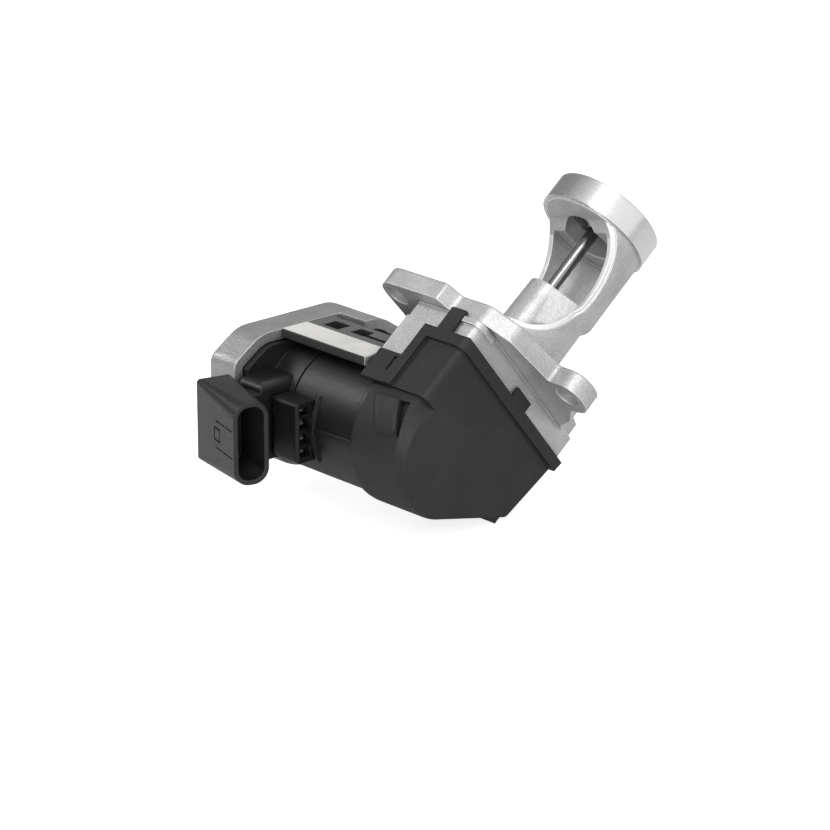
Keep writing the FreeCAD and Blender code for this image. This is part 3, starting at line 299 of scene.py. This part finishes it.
def edge_group(name):
    """Mask that is 1 on a piece's sharp edges, from its rounded and true normals."""
    group = bpy.data.node_groups.new(name, "ShaderNodeTree")
    add_socket(group, "Width", "NodeSocketFloat", "INPUT", 0.0004)
    add_socket(group, "Strength", "NodeSocketFloat", "INPUT", 1.0)
    add_socket(group, "Mask", "NodeSocketFloat", "OUTPUT")
    given = add_node(group, "NodeGroupInput", {})
    rounded = add_node(group, "ShaderNodeBevel", {"Radius": given["Width"]}, samples=4)["Normal"]
    true = add_node(group, "ShaderNodeNewGeometry", {})["Normal"]
    cosine = add_node(group, "ShaderNodeVectorMath", {0: rounded, 1: true},
                      operation="DOT_PRODUCT")["Value"]
    mask = arithmetic(group, "MULTIPLY", stretch(group, cosine, (0.995, 0.80)), given["Strength"])
    add_node(group, "NodeGroupOutput", {"Mask": mask})
    return group


def crevice_shade_group(name):
    """Mask of painted shade, which is 1 where faces close in on each other."""
    group = bpy.data.node_groups.new(name, "ShaderNodeTree")
    add_socket(group, "Reach", "NodeSocketFloat", "INPUT", 0.002)
    add_socket(group, "Mask", "NodeSocketFloat", "OUTPUT")
    given = add_node(group, "NodeGroupInput", {})
    openness = add_node(group, "ShaderNodeAmbientOcclusion", {"Distance": given["Reach"]}, samples=6)["AO"]
    add_node(group, "NodeGroupOutput", {"Mask": stretch(group, openness, (0.85, 0.35))})
    return group


# Masks of the body's faces with painted highlights, painted shade or a darker colour

def valve_frame(tree, place):
    """Distance from the valve axis and height along it from the flange."""
    turned = add_node(tree, "ShaderNodeMapping",
                      {"Vector": place, "Location": flange_centre,
                       "Rotation": (valve_tilt - math.pi / 2, 0.0, 0.0)},
                      vector_type="TEXTURE")["Vector"]
    parts = add_node(tree, "ShaderNodeSeparateXYZ", {"Vector": turned})
    flat = add_node(tree, "ShaderNodeCombineXYZ", {"X": parts["X"], "Y": parts["Y"]})["Vector"]
    away = add_node(tree, "ShaderNodeVectorMath", {0: flat}, operation="LENGTH")["Value"]
    return away, parts["Z"]


def window_masks(tree, place):
    """Masks of the lip round the snout's window and of the cut wall inside it, both painted lighter as
    highlights.
    """
    away, height = valve_frame(tree, place)
    lip_radii = tuple(radius - lip_depth for radius in snout_radii)
    off = arithmetic(tree, "SUBTRACT", away, stretch(tree, height, snout_step, lip_radii, "SMOOTHSTEP"))
    lip = arithmetic(tree, "MULTIPLY", near(tree, off, 0.0, lip_reach),
                     arithmetic(tree, "GREATER_THAN", height, lip_foot))
    half_wall = (snout_wall - lip_depth) / 2
    low, high = window_heights
    wall = arithmetic(tree, "MULTIPLY", near(tree, off, -half_wall, half_wall - wall_margin),
                      near(tree, height, (low + high) / 2, (high - low) / 2))
    return lip, wall


def bridge_masks(tree, place):
    """Masks of the bridge plate's front and of all below its top, slots included, darkened as painted shade,
    and of its top, kept darker.
    """
    parts = add_node(tree, "ShaderNodeSeparateXYZ", {"Vector": place})
    left = arithmetic(tree, "LESS_THAN", parts["X"], bridge_end)
    front = arithmetic(tree, "LESS_THAN", parts["Y"], bridge_front + front_reach)
    below = arithmetic(tree, "LESS_THAN", parts["Z"], bridge_top - side_margin)
    side = arithmetic(tree, "MAXIMUM", front, below)
    level = arithmetic(tree, "LESS_THAN", parts["Z"], bridge_top + top_reach)
    ahead = arithmetic(tree, "LESS_THAN", parts["Y"], bridge_back)
    top = arithmetic(tree, "MULTIPLY", level, ahead)
    return arithmetic(tree, "MULTIPLY", left, side), arithmetic(tree, "MULTIPLY", left, top)


# Materials

def blank_material(name):
    """A material with only its shader, and the coordinates that its patterns read."""
    material = bpy.data.materials.new(name)
    material.use_nodes = True
    tree = material.node_tree
    place = add_node(tree, "ShaderNodeTexCoord", {})["Object"]
    return material, tree, tree.nodes["Principled BSDF"], place


def rounded_bump(tree, height, distance, radius):
    """Normal of a bump over softly rounded edges."""
    rounded = add_node(tree, "ShaderNodeBevel", {"Radius": radius}, samples=6)["Normal"]
    inputs = {"Height": height, "Strength": 1.0, "Distance": distance, "Normal": rounded}
    return add_node(tree, "ShaderNodeBump", inputs)["Normal"]


def cast_material(name, colour, grain, depth, body=False):
    """Sand-cast aluminium with a fine grain, painted shade in its crevices, worn edges with a painted
    highlight, and the body's own faces with painted highlights and painted shade.
    """
    edge_radius = 0.0007
    worn_and_highlit = shade(colour, 1.75)
    material, tree, shader, place = blank_material(name)
    sand = shared_group(tree, "SandCast", sand_group, Vector=place, Grain=grain)
    base = mix_colour(tree, stretch(tree, sand["Tone"], (0.36, 0.64)), shade(colour, 0.70),
                      shade(colour, 1.16))
    # Painted shade: darker where faces close in on each other
    crevice_shade = shared_group(tree, "CreviceShade", crevice_shade_group, Reach=0.003)["Mask"]
    base = mix_colour(tree, crevice_shade, base, shade(colour, 0.30))
    # Edges brighter: partly wear, partly a painted highlight
    wear_and_reflection = shared_group(tree, "EdgeWearAndReflection", edge_group, Width=edge_radius, Strength=0.9)["Mask"]
    base = mix_colour(tree, wear_and_reflection, base, worn_and_highlit)
    if body:
        # Painted highlights on the window's lip and cut wall
        lip, wall = window_masks(tree, place)
        base = mix_colour(tree, wall, base, shade(colour, 1.6))
        base = mix_colour(tree, lip, base, worn_and_highlit)
        # Painted shade on the bridge plate's front, sides and slots; its top is made darker
        side, top = bridge_masks(tree, place)
        base = mix_colour(tree, top, base, shade(colour, 0.34))
        base = mix_colour(tree, side, base, shade(colour, 0.12))
    feed(tree, shader, {
        "Base Color": base,
        "Roughness": stretch(tree, sand["Tone"], (0.3, 0.7), (0.52, 0.36)),
        "Metallic": 0.6,
        "Normal": rounded_bump(tree, sand["Height"], depth, edge_radius),
    })
    return material


def turned_material(name, colour, groove, roughness=0.24, depth=0.000004, edge_reflection=1.0):
    """Steel with turning marks round the valve axis, and a painted edge reflection that makes edges lighter
    or darker by a factor.
    """
    material, tree, shader, place = blank_material(name)
    turned = add_node(tree, "ShaderNodeMapping",
                      {"Vector": place, "Rotation": (math.pi / 2 - valve_tilt, 0.0, 0.0)})["Vector"]
    squeezed = add_node(tree, "ShaderNodeVectorMath", {0: turned, 1: (0.03, 0.03, 1.0)},
                        operation="MULTIPLY")["Vector"]
    marks = noise(tree, squeezed, 1.0 / groove, 2.0)
    base = mix_colour(tree, marks, shade(colour, 0.92), shade(colour, 1.06))
    # Painted reflection on the edges, lighter or darker by the factor
    wear_and_reflection = shared_group(tree, "EdgeWearAndReflection", edge_group, Width=0.0005, Strength=1.0)["Mask"]
    feed(tree, shader, {
        "Base Color": mix_colour(tree, wear_and_reflection, base, shade(colour, edge_reflection)),
        "Roughness": stretch(tree, marks, (0.3, 0.7), (roughness - 0.05, roughness + 0.06)),
        "Metallic": 1.0,
        "Normal": rounded_bump(tree, marks, depth, 0.0002),
    })
    return material


def plastic_material(name, colour, grain, roughness, depth, radius=0.0005, dust=1.5, gloss=0.5,
                     reach=0.0016):
    """Moulded plastic with a fine grain, painted shade in its crevices and slightly lighter worn edges."""
    material, tree, shader, place = blank_material(name)
    fine = noise(tree, place, 1.0 / grain, 2.0)
    broad = noise(tree, place, 60.0, 5.0)
    base = mix_colour(tree, stretch(tree, broad, (0.35, 0.65)), shade(colour, 0.88), shade(colour, 1.12))
    # Painted shade in the crevices, as far as the reach goes
    crevice_shade = shared_group(tree, "CreviceShade", crevice_shade_group, Reach=reach)["Mask"]
    base = mix_colour(tree, crevice_shade, base, shade(colour, 0.15))
    wear_and_reflection = shared_group(tree, "EdgeWearAndReflection", edge_group, Width=radius, Strength=0.5)["Mask"]
    feed(tree, shader, {
        "Base Color": mix_colour(tree, wear_and_reflection, base, shade(colour, dust)),
        "Specular IOR Level": gloss,
        "Roughness": stretch(tree, fine, (0.3, 0.7), (roughness - 0.06, roughness + 0.06)),
        "Normal": rounded_bump(tree, fine, depth, radius),
    })
    return material


def metal_material(name, colour, roughness, metallic=1.0):
    """Plain machined metal with faint streaks."""
    material, tree, shader, place = blank_material(name)
    streaks = noise(tree, place, 900.0, 3.0)
    feed(tree, shader, {
        "Base Color": mix_colour(tree, streaks, shade(colour, 0.85), shade(colour, 1.12)),
        "Roughness": stretch(tree, streaks, (0.3, 0.7), (roughness - 0.05, roughness + 0.08)),
        "Metallic": metallic,
        "Normal": rounded_bump(tree, streaks, 0.000006, 0.00025),
    })
    return material


def finish_nodes(material, *names):
    """Gives CAD nodes a material."""
    for name in names:
        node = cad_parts[name]
        node.data.materials.clear()
        node.data.materials.append(material)


# Modelling

def clear_selection():
    """Deselects every object."""
    if bpy.context.object and bpy.context.object.mode != "OBJECT":
        bpy.ops.object.mode_set(mode="OBJECT")
    bpy.ops.object.select_all(action="DESELECT")


def take(piece):
    """Selects one piece alone and makes it the active one."""
    clear_selection()
    piece.select_set(True)
    bpy.context.view_layer.objects.active = piece


def settle(piece):
    """Applies a piece's place, turn and scale to its mesh."""
    take(piece)
    bpy.ops.object.transform_apply(location=True, rotation=True, scale=True)


def pick(piece, kind, test):
    """Selects a piece's faces or points by their place and normal, and leaves the rest."""
    take(piece)
    bpy.ops.object.mode_set(mode="EDIT")
    bpy.ops.mesh.select_mode(type=kind)
    bpy.ops.mesh.select_all(action="DESELECT")
    bpy.ops.object.mode_set(mode="OBJECT")
    if kind == "FACE":
        for face in piece.data.polygons:
            face.select = test(face.center, face.normal)
    else:
        for point in piece.data.vertices:
            point.select = test(point.co, point.normal)


def outward(piece):
    """Turns all of a piece's faces outwards."""
    pick(piece, "FACE", lambda p, n: True)
    bpy.ops.object.mode_set(mode="EDIT")
    bpy.ops.mesh.normals_make_consistent(inside=False)
    bpy.ops.object.mode_set(mode="OBJECT")


def push_face(piece, test, shift, inset=0.0):
    """Insets the picked face and extrudes it by a shift."""
    pick(piece, "FACE", test)
    bpy.ops.object.mode_set(mode="EDIT")
    if inset > 0:
        bpy.ops.mesh.inset(thickness=inset)
    bpy.ops.mesh.extrude_region_move(TRANSFORM_OT_translate={"value": shift})
    bpy.ops.object.mode_set(mode="OBJECT")


def folded_tab(name, place):
    """Small sheet contact: a foot on the recess floor and a tongue folded over it."""
    clear_selection()
    bpy.ops.mesh.primitive_cube_add(size=1.0, location=place, scale=foot_size)
    tab = bpy.context.active_object
    tab.name = name
    settle(tab)
    front = place.x + foot_size.x / 2
    tip = front + tongue_reach
    push_face(tab, lambda p, n: n.x > 0.9 and abs(p.x - front) < 1e-5, (tongue_reach, 0.0, 0.0),
              tongue_frame)
    push_face(tab, lambda p, n: n.x > 0.9 and abs(p.x - tip) < 1e-5, (tongue_end, 0.0, 0.0))
    push_face(tab, lambda p, n: n.y < -0.9 and p.x > tip, (0.0, -tongue_fold, 0.0))
    soft = tab.modifiers.new("Fold", "BEVEL")
    soft.width = edge_rounding
    soft.segments = 2
    bpy.ops.object.modifier_apply(modifier=soft.name)
    outward(tab)
    bpy.ops.object.shade_smooth_by_angle(angle=math.radians(35))
    return tab


# Studio

def make_floor(settings):
    """Pale floor that turns white in the camera's view and keeps the shadow."""
    bpy.ops.mesh.primitive_plane_add(size=floor_side, location=(0.0, 0.0, cad_box[0][2] - floor_gap))
    floor = bpy.context.active_object
    floor.name = "Floor"
    settle(floor)
    material = bpy.data.materials.new("FloorPaper")
    material.use_nodes = True
    tree = material.node_tree
    tree.nodes.clear()
    path = add_node(tree, "ShaderNodeLightPath", {})
    mirrored = arithmetic(tree, "MAXIMUM", path["Is Glossy Ray"], path["Is Transmission Ray"])
    strength = arithmetic(tree, "ADD", arithmetic(tree, "MULTIPLY", path["Is Camera Ray"], floor_glow),
                          arithmetic(tree, "MULTIPLY", mirrored, floor_mirrored))
    paper = add_node(tree, "ShaderNodeBsdfDiffuse", {"Color": (*settings.floor_colour, 1.0)})[0]
    glow = add_node(tree, "ShaderNodeEmission", {"Color": (1.0, 1.0, 1.0, 1.0), "Strength": strength})[0]
    both = add_node(tree, "ShaderNodeAddShader", {0: paper, 1: glow})[0]
    add_node(tree, "ShaderNodeOutputMaterial", {"Surface": both})
    floor.data.materials.append(material)


def make_world():
    """Pale light that is stronger from the right, and white to the camera."""
    world = bpy.data.worlds.new("StudioWorld")
    bpy.context.scene.world = world
    world.use_nodes = True
    tree = world.node_tree
    tree.nodes.clear()
    way = add_node(tree, "ShaderNodeTexCoord", {})["Generated"]
    facing = add_node(tree, "ShaderNodeVectorMath", {0: way, 1: bright_side},
                      operation="DOT_PRODUCT")["Value"]
    path = add_node(tree, "ShaderNodeLightPath", {})
    lit = add_node(tree, "ShaderNodeMix",
                   {"Factor": path["Is Glossy Ray"], "A": stretch(tree, facing, *matt_light),
                    "B": stretch(tree, facing, *mirrored_light)})["Result"]
    seen = add_node(tree, "ShaderNodeMix", {"Factor": path["Is Camera Ray"], "A": lit, "B": 1.0})["Result"]
    light = add_node(tree, "ShaderNodeBackground", {"Color": (1.0, 1.0, 1.0, 1.0), "Strength": seen})[0]
    add_node(tree, "ShaderNodeOutputWorld", {"Surface": light})


def make_lamp(name, place, side, power):
    """A square soft lamp aimed at the valve."""
    data = bpy.data.lights.new(name, "AREA")
    data.shape = "SQUARE"
    data.size = side
    data.energy = power
    lamp = bpy.data.objects.new(name, data)
    bpy.context.scene.collection.objects.link(lamp)
    lamp.location = place
    lamp.rotation_euler = (lamp_target - Vector(place)).to_track_quat("-Z", "Y").to_euler()


def make_camera(settings):
    """Camera at the photograph's angle, seen from the front right and a little above."""
    data = bpy.data.cameras.new("Camera")
    data.sensor_width = 36.0
    data.lens = settings.lens
    data.clip_start = 0.05
    data.clip_end = 30.0
    camera = bpy.data.objects.new("Camera", data)
    bpy.context.scene.collection.objects.link(camera)
    up = camera_back.cross(camera_right).normalized()
    turn = Matrix((camera_right, up, camera_back)).transposed().to_4x4()
    camera.matrix_world = Matrix.Translation(camera_place + flange_centre) @ turn
    bpy.context.scene.camera = camera


# Operators

class VALVE_OT_casting(bpy.types.Operator):
    """Finishes the cast body"""
    bl_idname = "valve.casting"
    bl_label = "Cast body"

    def execute(self, context):
        look = context.scene.valve_casting
        finish_nodes(cast_material("CastAluminium", look.body_colour, look.grain, look.depth, body=True),
                     "valve_body")
        return {"FINISHED"}


class VALVE_OT_ring(bpy.types.Operator):
    """Finishes the turned ring and the seat"""
    bl_idname = "valve.ring"
    bl_label = "Ring and seat"

    def execute(self, context):
        look = context.scene.valve_metal
        # The ring's edges get a painted dark reflection
        finish_nodes(turned_material("TurnedRing", look.ring_colour, look.groove, edge_reflection=0.25), "seat_ring")
        finish_nodes(turned_material("GroundSeat", shade(look.ring_colour, 0.8), look.groove), "valve_seat")
        return {"FINISHED"}


class VALVE_OT_stem(bpy.types.Operator):
    """Finishes the valve and what guides, seals and returns it"""
    bl_idname = "valve.stem"
    bl_label = "Valve and stem"

    def execute(self, context):
        look = context.scene.valve_metal
        finish_nodes(turned_material("PolishedStem", look.stem_colour, look.groove * 2, roughness=0.16,
                                     depth=0.000002),
                     "poppet_valve")
        finish_nodes(metal_material("Bronze", bronze, 0.32), "stem_guide")
        finish_nodes(metal_material("SpringSteel", spring_steel, 0.3), "return_spring", "spring_retainer",
                     "stem_yoke")
        finish_nodes(plastic_material("SealRubber", seal_rubber, grain=0.0006, roughness=0.7, depth=0.00002),
                     "stem_seal", "cover_seal")
        return {"FINISHED"}


class VALVE_OT_gears(bpy.types.Operator):
    """Finishes the gear train"""
    bl_idname = "valve.gears"
    bl_label = "Gear train"

    def execute(self, context):
        finish_nodes(metal_material("SinteredSteel", sintered_steel, 0.45), "output_gear", "crank_roller")
        finish_nodes(metal_material("GroundSteel", ground_steel, 0.22), "output_shaft", "crank_pin",
                     "intermediate_pin", "rotor_shaft", "output_bearing", "motor_bearings", "motor_screws")
        finish_nodes(metal_material("GearBrass", gear_brass, 0.3), "motor_pinion")
        finish_nodes(plastic_material("GearNylon", gear_nylon, grain=0.0008, roughness=0.45, depth=0.00001),
                     "intermediate_gear")
        return {"FINISHED"}


class VALVE_OT_cover(bpy.types.Operator):
    """Finishes the gear cover"""
    bl_idname = "valve.cover"
    bl_label = "Gear cover"

    def execute(self, context):
        look = context.scene.valve_plastic
        finish_nodes(plastic_material("CoverPlastic", look.cover_colour, look.grain, roughness=0.55,
                                      depth=0.00004, radius=0.0006, dust=2.0, gloss=0.32),
                     "gear_cover")
        return {"FINISHED"}


class VALVE_OT_motor(bpy.types.Operator):
    """Finishes the motor, inside and out"""
    bl_idname = "valve.motor"
    bl_label = "Motor"

    def execute(self, context):
        look = context.scene.valve_plastic
        finish_nodes(plastic_material("MotorPlastic", look.motor_colour, grain=0.0006, roughness=0.42,
                                      depth=0.000004, dust=2.0),
                     "motor_housing", "end_bell", "brush_holder")
        finish_nodes(metal_material("PlatedSteel", plated_steel, 0.35), "motor_can")
        finish_nodes(metal_material("FerriteGrey", ferrite_grey, 0.6, metallic=0.2), "motor_magnets",
                     "position_magnet")
        finish_nodes(metal_material("Laminations", lamination_grey, 0.5), "rotor_core")
        finish_nodes(metal_material("CommutatorCopper", commutator_copper, 0.3), "commutator")
        finish_nodes(metal_material("Carbon", carbon_black, 0.7, metallic=0.0), "brushes")
        finish_nodes(plastic_material("BoardLacquer", board_green, grain=0.002, roughness=0.35,
                                      depth=0.000005),
                     "sensor_board")
        return {"FINISHED"}


class VALVE_OT_end_cap(bpy.types.Operator):
    """Finishes the cast end cap"""
    bl_idname = "valve.end_cap"
    bl_label = "End cap"

    def execute(self, context):
        look = context.scene.valve_casting
        finish_nodes(cast_material("CastCap", look.cap_colour, look.grain * 1.2, look.depth * 1.3),
                     "motor_end_cap")
        return {"FINISHED"}


class VALVE_OT_socket(bpy.types.Operator):
    """Finishes the plug socket, its pins and the block behind it"""
    bl_idname = "valve.socket"
    bl_label = "Plug socket"

    def execute(self, context):
        look = context.scene.valve_plastic
        # The socket's long reach paints shade deep into its inside
        finish_nodes(plastic_material("SocketPlastic", look.socket_colour, look.grain, roughness=0.40,
                                      depth=0.00003, dust=2.0, gloss=0.45, reach=0.007),
                     "connector_shell")
        finish_nodes(plastic_material("BlockPlastic", look.motor_colour, look.grain, roughness=0.42,
                                      depth=0.00003, radius=0.0004, dust=2.0, gloss=0.30),
                     "terminal_block")
        finish_nodes(metal_material("TinPlate", tin_plate, 0.38), "connector_pins")
        return {"FINISHED"}


class VALVE_OT_contacts(bpy.types.Operator):
    """Makes the folded tin tabs in the block's recess"""
    bl_idname = "valve.contacts"
    bl_label = "Block contacts"

    def execute(self, context):
        levels = [flange_centre.z + level for level in contact_levels]
        first = folded_tab("BlockContact_1", Vector((contact_left, contact_front, levels[0])))
        tabs = [first]
        for number, level in enumerate(levels[1:], 2):
            tab = first.copy()
            tab.data = first.data.copy()
            tab.name = f"BlockContact_{number}"
            context.scene.collection.objects.link(tab)
            tab.location = (0.0, 0.0, level - levels[0])
            settle(tab)
            tabs.append(tab)
        for tab in tabs:
            tab.data.materials.append(bpy.data.materials["TinPlate"])
            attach(tab, "casting")
        return {"FINISHED"}


class VALVE_OT_spring(bpy.types.Operator):
    """Makes the return spring"""
    bl_idname = "valve.spring"
    bl_label = "Return spring"

    def execute(self, context):
        low, high = spring_heights
        clear_selection()
        bpy.ops.mesh.primitive_circle_add(vertices=12, radius=spring_wire, fill_type="NOTHING",
                                          location=(spring_coil, 0.0, low),
                                          rotation=(math.pi / 2, 0.0, 0.0))
        spring = context.active_object
        spring.name = "ReturnSpringWire"
        settle(spring)
        screw = spring.modifiers.new("Coil", "SCREW")
        screw.angle = 2 * math.pi * spring_turns
        screw.screw_offset = high - low
        screw.steps = screw.render_steps = int(24 * spring_turns)
        screw.use_smooth_shade = True
        bpy.ops.object.modifier_apply(modifier=screw.name)
        around = spring_wire * 1.05
        flat = spring_wire / 50
        for end in (Vector((spring_coil, 0.0, low)), Vector((-spring_coil, 0.0, high))):
            pick(spring, "VERT", lambda p, n: (p - end).length < around and abs(p.y) < flat)
            bpy.ops.object.mode_set(mode="EDIT")
            bpy.ops.mesh.edge_face_add()
            bpy.ops.object.mode_set(mode="OBJECT")
        outward(spring)
        spring.rotation_euler = (valve_tilt - math.pi / 2, 0.0, 0.0)
        spring.location = flange_centre
        settle(spring)
        bpy.ops.object.shade_smooth_by_angle(angle=math.radians(40))
        spring.data.materials.append(bpy.data.materials["SpringSteel"])
        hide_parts("return_spring")
        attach(spring, "casting")
        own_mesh(spring)
        return {"FINISHED"}


class VALVE_OT_label(bpy.types.Operator):
    """Finishes the blank label"""
    bl_idname = "valve.label"
    bl_label = "Label"

    def execute(self, context):
        look = context.scene.valve_plastic
        finish_nodes(plastic_material("LabelFilm", look.label_colour, grain=0.003, roughness=0.38,
                                      depth=0.000004, radius=0.0002, dust=1.1),
                     "id_label")
        return {"FINISHED"}


class VALVE_OT_stage(bpy.types.Operator):
    """Makes the floor, the lamps and the camera"""
    bl_idname = "valve.stage"
    bl_label = "Studio"

    def execute(self, context):
        settings = context.scene.valve_stage
        make_floor(settings)
        make_world()
        for name, (place, side, source, share) in lamps.items():
            make_lamp(name, place, side, getattr(settings, source) * share)
        make_camera(settings)
        context.scene.view_settings.view_transform = "Standard"
        return {"FINISHED"}


class VALVE_PT_panel(bpy.types.Panel):
    """Lists the valve's sizes, colours and steps"""
    bl_idname = "VALVE_PT_panel"
    bl_label = "Valve"
    bl_space_type = "VIEW_3D"
    bl_region_type = "UI"
    bl_category = "Valve"

    def draw(self, context):
        layout = self.layout
        for name in SETTINGS:
            group = getattr(context.scene, name)
            for key in group.__annotations__:
                layout.prop(group, key)
        for operator in STEPS:
            layout.operator(operator.bl_idname)


SETTINGS = {
    "valve_casting": CastingFinish,
    "valve_metal": MetalFinish,
    "valve_plastic": PlasticFinish,
    "valve_stage": StageSettings,
}

STEPS = (
    VALVE_OT_casting,
    VALVE_OT_ring,
    VALVE_OT_stem,
    VALVE_OT_gears,
    VALVE_OT_cover,
    VALVE_OT_motor,
    VALVE_OT_end_cap,
    VALVE_OT_socket,
    VALVE_OT_contacts,
    VALVE_OT_spring,
    VALVE_OT_label,
    VALVE_OT_stage,
)


def register():
    """Registers the classes and hangs the settings on the scene."""
    for cls in (*SETTINGS.values(), *STEPS, VALVE_PT_panel):
        bpy.utils.register_class(cls)
    for name, cls in SETTINGS.items():
        setattr(bpy.types.Scene, name, PointerProperty(type=cls))


def unregister():
    """Takes the settings and the classes away again."""
    for name in SETTINGS:
        delattr(bpy.types.Scene, name)
    for cls in reversed((*SETTINGS.values(), *STEPS, VALVE_PT_panel)):
        bpy.utils.unregister_class(cls)


def run(operator):
    """Calls an operator by its class."""
    family, name = operator.bl_idname.split(".")
    getattr(getattr(bpy.ops, family), name)()


def main():
    """Builds the whole scene in order."""
    register()
    for operator in STEPS:
        run(operator)


if __name__ == "__main__":
    main()
